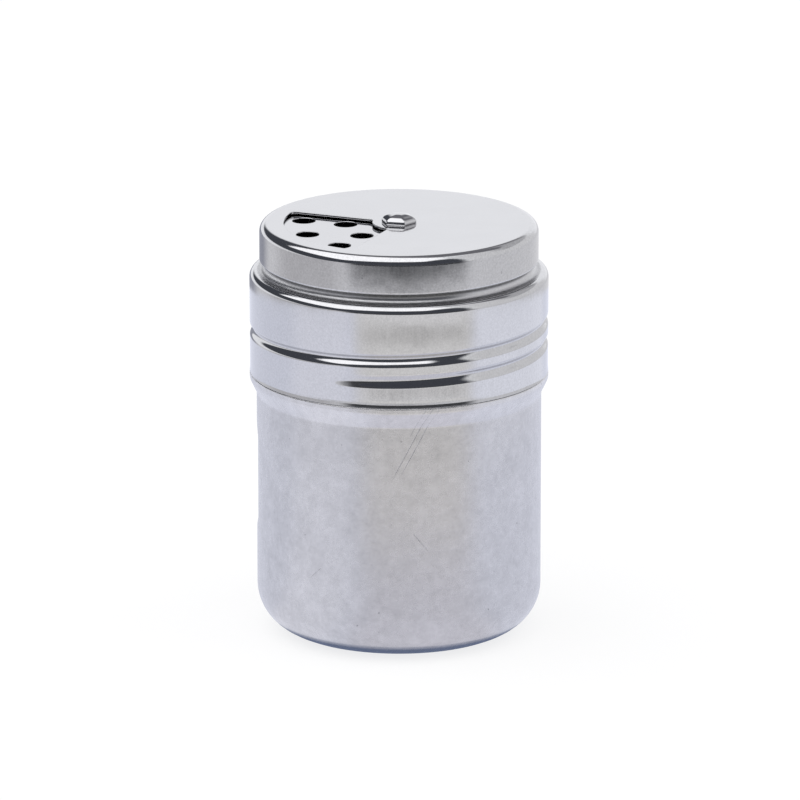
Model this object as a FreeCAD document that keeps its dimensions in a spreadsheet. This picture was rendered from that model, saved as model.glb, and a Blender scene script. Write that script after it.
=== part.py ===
"""Stainless steel spice shaker: a drawn cup, a screw lid with a perforated plate and a turning dial cap."""

import FreeCAD, Part
import math
import os
import re
import Sketcher

Vector = FreeCAD.Vector
UP = Vector(0, 0, 1)
FULL_TURN = 360.0
QUARTER_TURN = 90.0

# Driving dimensions: alias, value in millimetres, degrees or shares, and what it is
SIZES = [
    ("sheet", 0.5, "thickness of the steel sheet"),
    ("edge_share", 0.4, "rounding of a cut edge, as a share of the sheet"),
    ("overrun", 2.0, "how far a cutting tool passes beyond what it cuts"),
    ("cup_radius", 31.0, "outside of the cup's straight wall and of its neck"),
    ("base_corner", 10.0, "outside rounding between base and wall"),
    ("foot_width", 3.1, "width of the ring that the cup stands on"),
    ("recess_slope", 0.9, "width of the step round the raised middle of the base"),
    ("recess_rise", 0.6, "height of the raised middle above the floor"),
    ("shoulder_height", 57.9, "height of the top of the cup's stop bead"),
    ("stop_bead_width", 1.4, "height of the stop bead's upright side"),
    ("stop_bead_round", 0.7, "outside rounding of the stop bead"),
    ("flare_length", 3.1, "height over which the wall flares out to the stop bead"),
    ("flare_round", 1.6, "rounding at both ends of the flare"),
    ("neck_length", 21.1, "height of the neck above the stop bead"),
    ("seat_radius", 13.3, "round label seat pressed in the cup's side"),
    ("seat_margin", 5.3, "distance from the flare down to the label seat"),
    ("seat_depth", 0.25, "depth of the label seat"),
    ("seat_azimuth", 168.7, "direction of the label seat, from +X towards +Y"),
    ("groove_depth", 0.5, "depth of the groove rolled into the lid's band"),
    ("groove_round", 2.2, "section radius of that groove"),
    ("ridge_clearance", 0.5, "gap between the groove's ridge inside and the neck"),
    ("bead_clearance", 0.2, "gap between the cup's thread and the lid's band"),
    ("bead_round", 1.6, "section radius of the cup's thread"),
    ("thread_pitch", 4.7, "rise of the thread in one turn"),
    ("thread_rise", 8.0, "height of the groove above the stop bead in direction +X"),
    ("groove_start", -110.0, "direction where the groove has its full depth"),
    ("groove_end", 360.0, "direction where the groove begins to run out"),
    ("bead_start", -60.0, "direction where the cup's thread has its full height"),
    ("bead_end", 245.0, "direction where the cup's thread begins to run out"),
    ("thread_fade", 55.0, "angle over which a thread runs out"),
    ("thread_step", 7.5, "angle between points of a thread's path"),
    ("lid_clearance", 0.2, "gap between the stop bead and the lid's edge"),
    ("shoulder_round", 1.9, "outside rounding of the lid's shoulder"),
    ("shoulder_width", 3.5, "from the outside of the band in to the lid's neck"),
    ("neck_root", 0.5, "rounding between the lid's shoulder and neck"),
    ("neck_rise", 9.7, "height of the plate above the shoulder"),
    ("plate_round", 1.2, "outside rounding of the plate's rim"),
    ("seal_thickness", 1.0, "thickness of the seal"),
    ("seal_round_share", 0.8, "rounding of the seal, as a share of its thickness"),
    ("seal_clearance", 0.2, "gap between the seal and the root of the lid's neck"),
    ("dial_gap", 0.8, "gap between the lid's neck and the dial cap's wall"),
    ("dial_lift", 1.7, "height of the dial cap's lip above the shoulder"),
    ("dial_round", 1.9, "outside rounding of the dial cap's top"),
    ("lip_round", 0.9, "outside rounding of the dial cap's turned-in lip"),
    ("lip_clearance", 0.2, "gap between the lip and the lid's neck"),
    ("spacer_thickness", 0.25, "thickness of the washer between plate and dial cap"),
    ("spacer_radius", 3.4, "outside radius of that washer"),
    ("turning_clearance", 0.05, "running gap of the dial cap on its rivet"),
    ("window_rim", 3.4, "from the dial cap's rounded edge in to its window"),
    ("window_inner", 5.8, "inside radius of the window"),
    ("window_span", 87.2, "angle that the window opens"),
    ("window_corner", 1.6, "corner rounding of the window"),
    ("window_turn", 2.6, "how far the middle of the window is turned on from that of the five holes"),
    ("pattern_azimuth", 200.5, "direction of the five-hole pattern, from +X towards +Y"),
    ("sprinkle_radius", 2.5, "radius of each of the five holes"),
    ("sprinkle_margin", 1.4, "from the window's outer side to the outer holes"),
    ("sprinkle_row", 9.45, "from the outer row of holes in to the inner row"),
    ("sprinkle_outer_step", 32.0, "angle from one outer hole to the next"),
    ("sprinkle_inner_step", 52.0, "angle between the two inner holes"),
    ("fine_radius", 1.1, "radius of each fine hole"),
    ("fine_margin", 4.0, "from the window's outer side to the outer row of fine holes"),
    ("fine_row", 4.5, "distance from row to row of fine holes"),
    ("fine_spacing", 4.6, "distance between fine holes in a row"),
    ("pour_margin", 1.4, "how much further in than the window the pouring opening ends"),
    ("pour_web", 3.7, "how much further out than the window the opening begins"),
    ("pour_span", 58.0, "angle of the pouring opening"),
    ("pour_corner", 2.0, "corner rounding of the pouring opening"),
    ("rivet_head", 3.95, "rivet head from its centre to a corner"),
    ("rivet_height", 1.85, "height of the rivet head in its middle"),
    ("rivet_dome", 8.9, "radius of the head's domed top"),
    ("rivet_azimuth", -13.0, "direction of one corner of the head"),
    ("rivet_shank", 1.5, "radius of the rivet's shank"),
    ("rivet_tail", 2.6, "radius of the headed-over tail"),
    ("tail_height", 1.0, "height of the headed-over tail"),
    ("tail_round_share", 0.7, "rounding of the tail, as a share of its height"),
    ("washer_radius", 4.2, "outside radius of the washer below the plate"),
    ("washer_thickness", 0.5, "thickness of the washer below the plate"),
]

# Heights and radii that follow from the driving dimensions
BAND_INSIDE = "(cup_radius + ridge_clearance + groove_depth)"
BAND = f"({BAND_INSIDE} + sheet)"
FLARE_END = "(shoulder_height - stop_bead_width)"
FLARE_START = f"({FLARE_END} - flare_length)"
RIM = "(shoulder_height + neck_length)"
LID_BOTTOM = "(shoulder_height + lid_clearance)"
SEAL_TOP = f"({RIM} + seal_thickness)"
SHOULDER_TOP = f"({SEAL_TOP} + sheet)"
NECK = f"({BAND} - shoulder_width)"
PLATE_TOP = f"({SHOULDER_TOP} + neck_rise)"
PLATE_UNDER = f"({PLATE_TOP} - sheet)"
WASHER_UNDER = f"({PLATE_UNDER} - washer_thickness)"
DIAL = f"({NECK} + dial_gap + sheet)"
DIAL_UNDER = f"({PLATE_TOP} + spacer_thickness + turning_clearance)"
DIAL_TOP = f"({DIAL_UNDER} + sheet)"
DIAL_BOTTOM = f"({SHOULDER_TOP} + dial_lift)"
HEAD_UNDER = f"({DIAL_TOP} + turning_clearance)"
BORE = "(rivet_shank + turning_clearance)"
WINDOW_OUTER = f"({DIAL} - dial_round - window_rim)"
EDGE_ROUND = "(edge_share * sheet)"

# A rounding takes at most this share of the face beside it
ROUNDING_SHARE = 0.9
# Two edges are one when they are nearer than this share of the sheet
MATCH_SHARE = 0.02

# Fine holes in each row, from the outer row inwards
FINE_ROW_HOLES = (5, 4, 3)
# Upright sides of the rivet's head
HEAD_SIDES = 6

doc = FreeCAD.newDocument("SpiceShaker")
sizes = doc.addObject("Spreadsheet::Sheet", "Sizes")
for row, (alias, number, meaning) in enumerate(SIZES, start=1):
    sizes.set(f"A{row}", meaning)
    sizes.set(f"B{row}", str(number))
    sizes.setAlias(f"B{row}", alias)
doc.recompute()

ALIAS = re.compile(r"\b(" + "|".join(alias for alias, number, meaning in SIZES) + r")\b")


def bound(expression):
    """An expression on the sheet's aliases, as the document reads it."""
    return ALIAS.sub(r"Sizes.\1", expression)


def worked_out(expression):
    """The number that an expression on the sheet's aliases gives now."""
    return float(sizes.evalExpression(bound(expression)))


def degrees(expression):
    """An expression of plain numbers as an angle."""
    return f"(({expression}) * 1 deg)"


def at_most(expression, face):
    """A rounding that is limited by the width of the face beside it."""
    return f"min({expression}; {ROUNDING_SHARE} * ({face}))"


def pin_corner(sketch, index, kind, axis, expression, number):
    """Holds one coordinate of an outline's corner at an expression, or on the axis where it is zero."""
    if expression == "0":
        sketch.addConstraint(Sketcher.Constraint("PointOnObject", index, 1, axis))
        return
    place = sketch.addConstraint(Sketcher.Constraint(kind, -1, 1, index, 1, number))
    sketch.setExpression(f"Constraints[{place}]", bound(expression))


def outline_sketch(body, name, corners):
    """A closed outline in the XZ plane through corners given as expressions for radius and height."""
    sketch = body.newObject("Sketcher::SketchObject", name)
    plane = next(feature for feature in body.Origin.OriginFeatures if feature.Role == "XZ_Plane")
    sketch.AttachmentSupport = [(plane, "")]
    sketch.MapMode = "FlatFace"
    places = [Vector(worked_out(radius), worked_out(height), 0) for radius, height in corners]
    following = places[1:] + places[:1]
    for start, end in zip(places, following):
        sketch.addGeometry(Part.LineSegment(start, end), False)
    for index in range(len(places)):
        sketch.addConstraint(Sketcher.Constraint("Coincident", index, 2, (index + 1) % len(places), 1))
    for index, (radius, height) in enumerate(corners):
        pin_corner(sketch, index, "DistanceX", -2, radius, places[index].x)
        pin_corner(sketch, index, "DistanceY", -1, height, places[index].y)
    return sketch


def round_edges(shape, radius, height):
    """Names of a shape's circular edges about the vertical axis at a radius and a height."""
    near = worked_out("sheet") * MATCH_SHARE
    names = []
    for number, edge in enumerate(shape.Edges, start=1):
        if not isinstance(edge.Curve, Part.Circle):
            continue
        centre = edge.Curve.Center
        misses = (math.hypot(centre.x, centre.y), edge.Curve.Radius - radius, centre.z - height)
        if all(abs(miss) < near for miss in misses):
            names.append(f"Edge{number}")
    if not names:
        raise RuntimeError(f"no edge at radius {radius} and height {height}")
    return names


def turned_body(name, corners, roundings):
    """A body turned about the vertical axis from an outline, with some of the outline's corners rounded."""
    body = doc.addObject("PartDesign::Body", name)
    sketch = outline_sketch(body, name + "Outline", corners)
    feature = body.newObject("PartDesign::Revolution", name + "Turned")
    feature.Profile = sketch
    feature.ReferenceAxis = (sketch, ["V_Axis"])
    feature.Angle = FULL_TURN
    doc.recompute()
    for number, (radius, height, rounding) in enumerate(roundings, start=1):
        edges = round_edges(feature.Shape, worked_out(radius), worked_out(height))
        fillet = body.newObject("PartDesign::Fillet", f"{name}Round{number}")
        fillet.Base = (feature, edges)
        fillet.setExpression("Radius", bound(rounding))
        body.Tip = fillet
        doc.recompute()
        feature = fillet
    return body


def cylinder(name, radius, bottom, height, azimuth="0", distance="0"):
    """An upright cylinder whose axis may stand off the part's own axis."""
    solid = doc.addObject("Part::Cylinder", name)
    solid.setExpression("Radius", bound(radius))
    solid.setExpression("Height", bound(height))
    solid.setExpression("Placement.Base.x", bound(f"({distance}) * cos({degrees(azimuth)})"))
    solid.setExpression("Placement.Base.y", bound(f"({distance}) * sin({degrees(azimuth)})"))
    solid.setExpression("Placement.Base.z", bound(bottom))
    return solid


def cut(name, base, tool):
    """Base less tool."""
    result = doc.addObject("Part::Cut", name)
    result.Base = base
    result.Tool = tool
    return result


def fused(name, pieces):
    """Several solids as one."""
    result = doc.addObject("Part::MultiFuse", name)
    result.Shapes = pieces
    return result


def common(name, pieces):
    """What several solids share."""
    result = doc.addObject("Part::MultiCommon", name)
    result.Shapes = pieces
    return result


def ring(name, outer, inner, bottom, height):
    """A plain ring about the part's axis."""
    outside = cylinder(name + "Outside", outer, bottom, height)
    inside = cylinder(name + "Inside", inner, bottom, height)
    return cut(name, outside, inside)


def sector_tool(name, outer, inner, bottom, height, azimuth, span, corner):
    """An upright block whose plan is a ring's sector with rounded corners."""
    outside = cylinder(name + "Outside", outer, bottom, height)
    outside.setExpression("Angle", bound(degrees(span)))
    outside.setExpression("Placement.Rotation.Angle", bound(degrees(f"{azimuth} - {span} / 2")))
    outside.Placement.Rotation.Axis = UP
    inside = cylinder(name + "Inside", inner, bottom, height)
    sector = cut(name + "Sector", outside, inside)
    doc.recompute()
    block = doc.addObject("Part::Fillet", name)
    block.Base = sector
    rounding = worked_out(corner)
    straight = [number for number, edge in enumerate(sector.Shape.Edges, start=1) if upright(edge)]
    block.Edges = [(number, rounding, rounding) for number in straight]
    return block


def upright(edge):
    """Whether an edge is a straight vertical one away from the axis."""
    if not isinstance(edge.Curve, Part.Line) or len(edge.Vertexes) < 2:
        return False
    first, last = (vertex.Point for vertex in edge.Vertexes)
    return abs(first.x - last.x) + abs(first.y - last.y) < worked_out("sheet") * MATCH_SHARE


def thread_path(radius, run_out, rise, start, end):
    """A rising path round the axis whose radius changes smoothly by run_out before start and after end."""
    fade = worked_out("thread_fade")
    first = worked_out(start) - fade
    last = worked_out(end) + fade
    count = math.ceil((last - first) / worked_out("thread_step"))
    places = []
    for step in range(count + 1):
        angle = first + (last - first) * step / count
        beyond = max(first + fade - angle, angle - last + fade, 0) / fade
        away = worked_out(radius) + worked_out(run_out) * (1 - math.cos(math.pi * beyond)) / 2
        height = worked_out(rise) + worked_out("thread_pitch") * angle / FULL_TURN
        turn = math.radians(angle)
        places.append(Vector(away * math.cos(turn), away * math.sin(turn), height))
    curve = Part.BSplineCurve()
    curve.interpolate(places)
    return Part.Wire([curve.toShape()])


def thread_bar(name, path, section):
    """A round bar along a thread's path."""
    edge = path.Edges[0]
    first = edge.FirstParameter
    circle = Part.makeCircle(worked_out(section), edge.valueAt(first), edge.tangentAt(first))
    sweep = Part.BRepOffsetAPI.MakePipeShell(path)
    sweep.setBiNormalMode(UP)
    sweep.add(Part.Wire([circle]))
    sweep.build()
    sweep.makeSolid()
    bar = doc.addObject("Part::Feature", name)
    bar.Shape = sweep.shape()
    bar.Placement = FreeCAD.Placement()
    return bar


def cup():
    """The drawn cup: base, wall, flare, stop bead and neck, all one sheet."""
    inside = "(cup_radius - sheet)"
    foot = "(cup_radius - base_corner - foot_width)"
    recess = f"({foot} - recess_slope)"
    bead_under = "(shoulder_height - sheet)"
    bead_face = f"({BAND} - cup_radius)"
    corners = [
        ("0", "recess_rise"),
        (recess, "recess_rise"),
        (foot, "0"),
        ("cup_radius", "0"),
        ("cup_radius", FLARE_START),
        (BAND, FLARE_END),
        (BAND, "shoulder_height"),
        ("cup_radius", "shoulder_height"),
        ("cup_radius", RIM),
        (inside, RIM),
        (inside, bead_under),
        (BAND_INSIDE, bead_under),
        (BAND_INSIDE, FLARE_END),
        (inside, FLARE_START),
        (inside, "sheet"),
        (foot, "sheet"),
        (recess, "(recess_rise + sheet)"),
        ("0", "(recess_rise + sheet)"),
    ]
    shell = turned_body("CupShell", corners, [
        ("cup_radius", "0", "base_corner"),
        (inside, "sheet", "base_corner - sheet"),
        (BAND, "shoulder_height", at_most("stop_bead_round", bead_face)),
        (BAND_INSIDE, bead_under, at_most("stop_bead_round - sheet", f"{bead_face} - sheet")),
        (BAND, FLARE_END, "flare_round"),
        ("cup_radius", FLARE_START, "flare_round"),
        (inside, FLARE_START, "flare_round"),
        ("cup_radius", RIM, EDGE_ROUND),
        (inside, RIM, EDGE_ROUND),
    ])
    return label_seat(cup_thread(shell))


def cup_thread(shell):
    """The neck with a thread rolled outwards, hollow inside, half a pitch above the lid's groove."""
    stands_out = f"({BAND_INSIDE} - bead_clearance - cup_radius)"
    rise = "shoulder_height + thread_rise + thread_pitch / 2"
    radius = f"cup_radius + {stands_out} - bead_round"
    path = thread_path(radius, f"0 - {stands_out} - sheet", rise, "bead_start", "bead_end")
    outside = thread_bar("NeckThreadOutside", path, "bead_round")
    inside = thread_bar("NeckThreadInside", path, "bead_round - sheet")
    skin = ring("NeckSkin", f"{BAND} + overrun", "cup_radius - sheet / 2", "shoulder_height", "neck_length")
    raised = common("NeckRaised", [outside, skin])
    full = fused("NeckFull", [shell, raised])
    return cut("NeckThreaded", full, inside)


def label_seat(shell):
    """A shallow blank round seat pressed into the cup's wall, with the sheet as thick there as elsewhere."""
    height = f"({FLARE_START} - seat_margin - seat_radius)"
    tool = doc.addObject("Part::Cylinder", "SeatTool")
    tool.setExpression("Radius", bound("seat_radius"))
    tool.setExpression("Height", bound("cup_radius + overrun"))
    turned = f"rotation(vector(0; 0; 1); {degrees('seat_azimuth')}) * rotation(vector(0; 1; 0); 90 deg)"
    tool.setExpression("Placement", bound(f"placement(vector(0; 0; {height}); {turned})"))
    low = f"{height} - seat_radius - overrun"
    tall = "2 * (seat_radius + overrun)"
    outer_skin = ring("SeatOuterSkin", "cup_radius + overrun", "cup_radius - seat_depth", low, tall)
    inner_skin = ring("SeatInnerSkin", "cup_radius - sheet / 2", "cup_radius - sheet - seat_depth", low, tall)
    backed = fused("SeatBacked", [shell, common("SeatBacking", [tool, inner_skin])])
    return cut("Cup", backed, common("SeatPressed", [tool, outer_skin]))


def screw_lid():
    """The lid: band, shoulder, neck and perforated plate, all one sheet."""
    neck_inside = f"({NECK} - sheet)"
    corners = [
        ("0", PLATE_TOP),
        (NECK, PLATE_TOP),
        (NECK, SHOULDER_TOP),
        (BAND, SHOULDER_TOP),
        (BAND, LID_BOTTOM),
        (BAND_INSIDE, LID_BOTTOM),
        (BAND_INSIDE, SEAL_TOP),
        (neck_inside, SEAL_TOP),
        (neck_inside, PLATE_UNDER),
        ("0", PLATE_UNDER),
    ]
    shell = turned_body("LidShell", corners, [
        (BAND, SHOULDER_TOP, "shoulder_round"),
        (BAND_INSIDE, SEAL_TOP, "shoulder_round - sheet"),
        (NECK, SHOULDER_TOP, "neck_root"),
        (neck_inside, SEAL_TOP, "neck_root + sheet"),
        (NECK, PLATE_TOP, "plate_round"),
        (neck_inside, PLATE_UNDER, "plate_round - sheet"),
        (BAND, LID_BOTTOM, EDGE_ROUND),
        (BAND_INSIDE, LID_BOTTOM, EDGE_ROUND),
    ])
    bore = plate_hole("PlateBore", BORE, "0", "0")
    openings = fused("PlateOpenings", sprinkle_holes() + fine_holes() + [pour_opening(), bore])
    return cut("ScrewLid", lid_thread(shell), openings)


def lid_thread(shell):
    """The band with a groove rolled into it, whose ridge inside is the lid's thread."""
    rise = "shoulder_height + thread_rise"
    radius = f"{BAND} - groove_depth + groove_round"
    path = thread_path(radius, "groove_depth + sheet", rise, "groove_start", "groove_end")
    outside = thread_bar("GrooveOutside", path, "groove_round")
    inside = thread_bar("GrooveInside", path, "groove_round + sheet")
    skin = ring("BandSkin", f"{BAND} - sheet / 2", "cup_radius", LID_BOTTOM, f"{SEAL_TOP} - {LID_BOTTOM}")
    full = fused("BandFull", [shell, common("BandRidge", [inside, skin])])
    return cut("BandThreaded", full, outside)


def plate_hole(name, radius, azimuth, distance):
    """A tool for one round hole through the plate."""
    return cylinder(name, radius, f"{PLATE_UNDER} - overrun", "sheet + 2 * overrun", azimuth, distance)


def sprinkle_holes():
    """Five holes: three in an outer row and two in an inner one."""
    outer = f"({WINDOW_OUTER} - sprinkle_margin - sprinkle_radius)"
    inner = f"({outer} - sprinkle_row)"
    holes = []
    for place in (-1, 0, 1):
        azimuth = f"pattern_azimuth + {place} * sprinkle_outer_step"
        holes.append(plate_hole(f"SprinkleOuter{place + 2}", "sprinkle_radius", azimuth, outer))
    for place in (-1, 1):
        azimuth = f"pattern_azimuth + {place} * sprinkle_inner_step / 2"
        holes.append(plate_hole(f"SprinkleInner{place + 2}", "sprinkle_radius", azimuth, inner))
    return holes


def fine_holes():
    """Rows of fine holes a quarter turn on from the five."""
    holes = []
    for row, count in enumerate(FINE_ROW_HOLES):
        distance = f"({WINDOW_OUTER} - fine_margin - {row} * fine_row)"
        for place in range(count):
            off_middle = place - (count - 1) / 2
            along = f"{off_middle} * fine_spacing / {distance} * 180 / pi"
            azimuth = f"pattern_azimuth + {QUARTER_TURN} + {along}"
            holes.append(plate_hole(f"Fine{row + 1}{place + 1}", "fine_radius", azimuth, distance))
    return holes


def pour_opening():
    """The large opening opposite the five holes."""
    outer = f"({WINDOW_OUTER} - pour_margin)"
    inner = "(window_inner + pour_web)"
    azimuth = f"pattern_azimuth - 2 * {QUARTER_TURN}"
    return sector_tool("PourOpening", outer, inner, f"{PLATE_UNDER} - overrun", "sheet + 2 * overrun",
                       azimuth, "pour_span", "pour_corner")


def dial_cap():
    """The turning cap: a shallow drawn cap with a turned-in lip and one window."""
    inside = f"({DIAL} - sheet)"
    lip = f"({NECK} + lip_clearance)"
    lip_top = f"({DIAL_BOTTOM} + sheet)"
    corners = [
        ("0", DIAL_TOP),
        (DIAL, DIAL_TOP),
        (DIAL, DIAL_BOTTOM),
        (lip, DIAL_BOTTOM),
        (lip, lip_top),
        (inside, lip_top),
        (inside, DIAL_UNDER),
        ("0", DIAL_UNDER),
    ]
    shell = turned_body("DialShell", corners, [
        (DIAL, DIAL_TOP, "dial_round"),
        (inside, DIAL_UNDER, "dial_round - sheet"),
        (DIAL, DIAL_BOTTOM, at_most("lip_round", f"{DIAL} - {lip}")),
        (inside, lip_top, at_most("lip_round - sheet", f"{inside} - {lip}")),
    ])
    bottom = f"{DIAL_UNDER} - sheet"
    window = sector_tool("Window", WINDOW_OUTER, "window_inner", bottom, "3 * sheet",
                         "pattern_azimuth + window_turn", "window_span", "window_corner")
    bore = cylinder("DialBore", BORE, bottom, "3 * sheet")
    return cut("DialCap", shell, fused("DialOpenings", [window, bore]))


def lid_seal():
    """The soft ring between the cup's rim and the lid's shoulder, inside the shoulder's rounding."""
    rounding = "(seal_round_share * seal_thickness)"
    outer = f"({BAND_INSIDE} - (shoulder_round - sheet) + {rounding})"
    inner = f"({NECK} - sheet + neck_root + sheet + seal_clearance)"
    corners = [(inner, RIM), (outer, RIM), (outer, SEAL_TOP), (inner, SEAL_TOP)]
    return turned_body("LidSeal", corners, [(outer, SEAL_TOP, rounding)])


def pivot_rivet():
    """The rivet: a six-sided head with a domed top, a shank and a headed-over tail."""
    sides = doc.addObject("Part::Prism", "RivetSides")
    sides.Polygon = HEAD_SIDES
    sides.setExpression("Circumradius", bound("rivet_head"))
    sides.setExpression("Height", bound("rivet_height"))
    sides.setExpression("Placement.Base.z", bound(HEAD_UNDER))
    sides.setExpression("Placement.Rotation.Angle", bound(degrees("rivet_azimuth")))
    sides.Placement.Rotation.Axis = UP
    dome = doc.addObject("Part::Sphere", "RivetDome")
    dome.setExpression("Radius", bound("rivet_dome"))
    dome.setExpression("Placement.Base.z", bound(f"{HEAD_UNDER} + rivet_height - rivet_dome"))
    head = common("RivetHead", [sides, dome])
    shank = cylinder("RivetShank", "rivet_shank", WASHER_UNDER, f"{HEAD_UNDER} - {WASHER_UNDER}")
    tail_under = f"({WASHER_UNDER} - tail_height)"
    corners = [
        ("0", WASHER_UNDER),
        ("rivet_tail", WASHER_UNDER),
        ("rivet_tail", tail_under),
        ("0", tail_under),
    ]
    tail = turned_body("RivetTail", corners, [("rivet_tail", tail_under, "tail_round_share * tail_height")])
    return fused("PivotRivet", [head, shank, tail])


def build():
    """Makes every piece and labels it with its own name."""
    pieces = {
        "cup": cup(),
        "screw_lid": screw_lid(),
        "lid_seal": lid_seal(),
        "dial_cap": dial_cap(),
        "dial_spacer": ring("DialSpacer", "spacer_radius", BORE, PLATE_TOP, "spacer_thickness"),
        "pivot_rivet": pivot_rivet(),
        "rivet_washer": ring("RivetWasher", "washer_radius", BORE, WASHER_UNDER, "washer_thickness"),
    }
    for name, piece in pieces.items():
        piece.Label = name
    doc.recompute()
    return pieces


def check(pieces):
    """Stops where an object of the document has failed or a piece isn't one sound solid."""
    for item in doc.Objects:
        if "Invalid" in item.State or "Error" in item.State:
            raise RuntimeError(f"{item.Name} is {item.State}")
    for name, piece in pieces.items():
        shape = piece.Shape
        if shape.isNull() or not shape.isValid() or len(shape.Solids) != 1:
            raise RuntimeError(f"{name} isn't one sound solid")
        print(f"{name}: {shape.Volume:.1f} cubic mm, {len(shape.Faces)} faces")


def write(pieces):
    """Writes each piece to a file of its own."""
    os.makedirs("parts", exist_ok=True)
    for name, piece in pieces.items():
        piece.Shape.exportStep(os.path.join("parts", name + ".step"))


made = build()
check(made)
write(made)
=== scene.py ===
"""The looks of a stainless steel spice shaker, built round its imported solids."""

import bmesh
import bpy
import math
import numpy as np
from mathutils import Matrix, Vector


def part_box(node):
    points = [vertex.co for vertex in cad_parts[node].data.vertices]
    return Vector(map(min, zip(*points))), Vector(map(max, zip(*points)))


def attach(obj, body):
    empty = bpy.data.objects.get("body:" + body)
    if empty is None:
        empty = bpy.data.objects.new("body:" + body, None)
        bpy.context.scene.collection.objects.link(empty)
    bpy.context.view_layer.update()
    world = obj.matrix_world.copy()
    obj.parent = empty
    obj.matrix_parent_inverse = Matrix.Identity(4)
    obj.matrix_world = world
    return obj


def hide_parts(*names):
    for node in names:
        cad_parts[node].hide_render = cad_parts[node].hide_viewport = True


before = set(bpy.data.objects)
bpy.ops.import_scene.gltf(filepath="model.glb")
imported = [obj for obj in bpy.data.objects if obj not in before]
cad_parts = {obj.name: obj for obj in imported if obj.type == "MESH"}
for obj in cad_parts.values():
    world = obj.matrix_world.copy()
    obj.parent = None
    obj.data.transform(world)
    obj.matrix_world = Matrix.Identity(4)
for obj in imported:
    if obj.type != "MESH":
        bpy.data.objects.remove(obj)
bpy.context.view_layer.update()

bl_info = {
    "name": "Spice shaker",
    "version": (1, 0, 0),
    "blender": (4, 5, 0),
    "location": "3D View > Sidebar > Shaker",
    "description": "Builds a steel spice shaker with a screw lid and a turning dial, and its studio",
    "category": "Object",
}

MM = 0.001
QUARTER = math.pi / 2
FULL_TURN = 2 * math.pi
WHITE = (1.0, 1.0, 1.0, 1.0)

CUP_LOW, CUP_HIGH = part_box("cup")
LID_LOW, LID_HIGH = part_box("screw_lid")
DIAL_LOW, DIAL_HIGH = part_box("dial_cap")
RIVET_LOW, RIVET_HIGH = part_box("pivot_rivet")
SEAL_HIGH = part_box("lid_seal")[1]
WASHER_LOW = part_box("rivet_washer")[0]


def length(label, description, size):
    """A length property with its default in metres."""
    return bpy.props.FloatProperty(name=label, description=description, default=size, min=0, precision=5,
                                   unit="LENGTH")


def angle(label, description, size):
    """An angle property with its default in degrees."""
    return bpy.props.FloatProperty(name=label, description=description, default=math.radians(size),
                                   subtype="ANGLE")


def share(label, description, size):
    """A plain number from nought to one."""
    return bpy.props.FloatProperty(name=label, description=description, default=size, min=0, max=1)


def tint(label, description, colour):
    """A colour property."""
    return bpy.props.FloatVectorProperty(name=label, description=description, default=colour, size=3,
                                         subtype="COLOR", min=0, max=1)


class ShakerCup(bpy.types.PropertyGroup):
    """Sizes of the drawn cup."""
    sheet: length("Sheet", "Thickness of the steel sheet", 0.5 * MM)
    radius: length("Wall radius", "Outside of the straight wall and of the neck", 31 * MM)
    base_corner: length("Base corner", "Outside rounding between base and wall", 10 * MM)
    foot_width: length("Foot width", "Width of the ring that the cup stands on", 3.1 * MM)
    recess_slope: length("Recess slope", "Width of the step round the raised middle", 0.9 * MM)
    recess_rise: length("Recess rise", "Height of the raised middle above the floor", 0.6 * MM)
    shoulder: length("Shoulder height", "Height of the top of the stop bead", 58.02 * MM)
    bead_width: length("Stop bead width", "Height of the stop bead's upright side", 1.4 * MM)
    bead_round: length("Stop bead rounding", "Outside rounding of the stop bead", 0.25 * MM)
    flare: length("Flare", "Height over which the wall flares out", 3.1 * MM)
    flare_round: length("Flare rounding", "Rounding at both ends of the flare", 1.6 * MM)
    seat_radius: length("Label seat", "Radius of the blank round seat in the wall", 13.3 * MM)
    seat_height: length("Seat height", "Height of the seat's middle", 34.8 * MM)
    seat_depth: length("Seat depth", "Depth of the seat", 0.25 * MM)
    seat_edge: length("Seat edge", "Width of the soft step round the seat", 1.1 * MM)
    seat_azimuth: angle("Seat direction", "Direction of the seat from +X towards +Y", 168.7)


class ShakerThread(bpy.types.PropertyGroup):
    """Sizes of the rolled thread of lid and cup."""
    pitch: length("Pitch", "Rise of the thread in one turn", 4.7 * MM)
    rise: length("Groove height", "Height of the lid's groove in direction +X", 65.45 * MM)
    depth: length("Groove depth", "Depth of the groove in the lid's band", 0.72 * MM)
    above: length("Groove above", "Width of the groove's upper flank", 1.3 * MM)
    below: length("Groove below", "Width of the groove's lower flank", 1.75 * MM)
    start: angle("Groove start", "Direction where the groove begins", -118)
    lead: angle("Groove lead", "Angle over which the groove deepens", 90)
    end: angle("Groove end", "Direction where the groove begins to run out", 360)
    fade: angle("Groove fade", "Angle over which the groove runs out", 50)
    bead_rise: length("Bead height", "Height of the cup's thread in direction +X", 68.25 * MM)
    bead_depth: length("Bead size", "How far the cup's thread stands out", 0.75 * MM)
    bead_width: length("Bead width", "Width of each flank of the cup's thread", 1.5 * MM)
    bead_start: angle("Bead start", "Direction where the cup's thread begins", -88)
    bead_end: angle("Bead end", "Direction where the cup's thread begins to run out", 245)
    bead_fade: angle("Bead fade", "Angle over which the cup's thread runs out", 28)


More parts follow.
